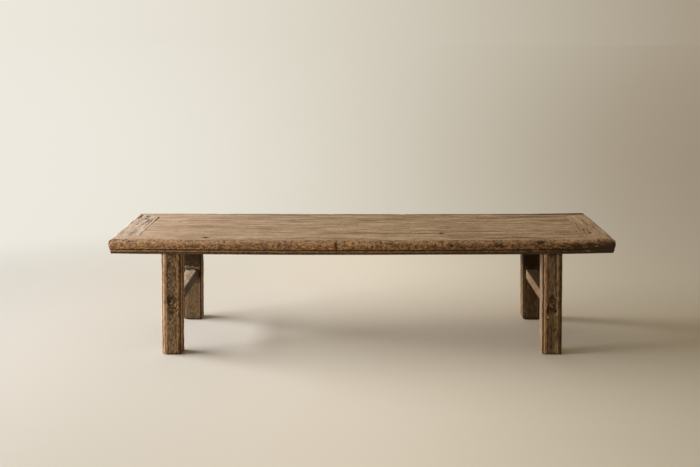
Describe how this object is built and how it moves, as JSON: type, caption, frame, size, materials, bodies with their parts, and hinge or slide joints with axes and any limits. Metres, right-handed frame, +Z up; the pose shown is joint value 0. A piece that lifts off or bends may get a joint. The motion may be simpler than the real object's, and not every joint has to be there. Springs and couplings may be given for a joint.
{
  "type": "kang table",
  "caption": "Long, low east Asian table: framed and panelled top with a moulded edge on short beaded legs, joined in pairs by side stretchers.",
  "frame": {"origin": "on the floor, under the middle of the table top", "axes": "+X along the length of the table to its right end, +Z up, -Y towards the front"},
  "size_m": [1.6, 0.52, 0.373],
  "materials": {
    "frame_wood": "dry, worn old wood with traces of lacquer, matt",
    "panel_wood": "dry, worn old wood, matt",
    "batten_wood": "unfinished wood, dark with age",
    "leg_wood": "worn wood with dark dirt in the sunk fields",
    "stretcher_wood": "worn wood, matt",
    "peg_wood": "end grain, dark with age"
  },
  "bodies": {
    "root": {"front_rail": "frame_wood", "back_rail": "frame_wood", "left_end_rail": "frame_wood", "right_end_rail": "frame_wood", "front_board": "panel_wood", "back_board": "panel_wood", "left_batten": "batten_wood", "middle_batten": "batten_wood", "right_batten": "batten_wood", "front_left_leg": "leg_wood", "front_right_leg": "leg_wood", "back_left_leg": "leg_wood", "back_right_leg": "leg_wood", "left_stretcher": "stretcher_wood", "right_stretcher": "stretcher_wood", "stretcher_wedges": "peg_wood", "corner_pegs": "peg_wood"}
  },
  "joints": []
}
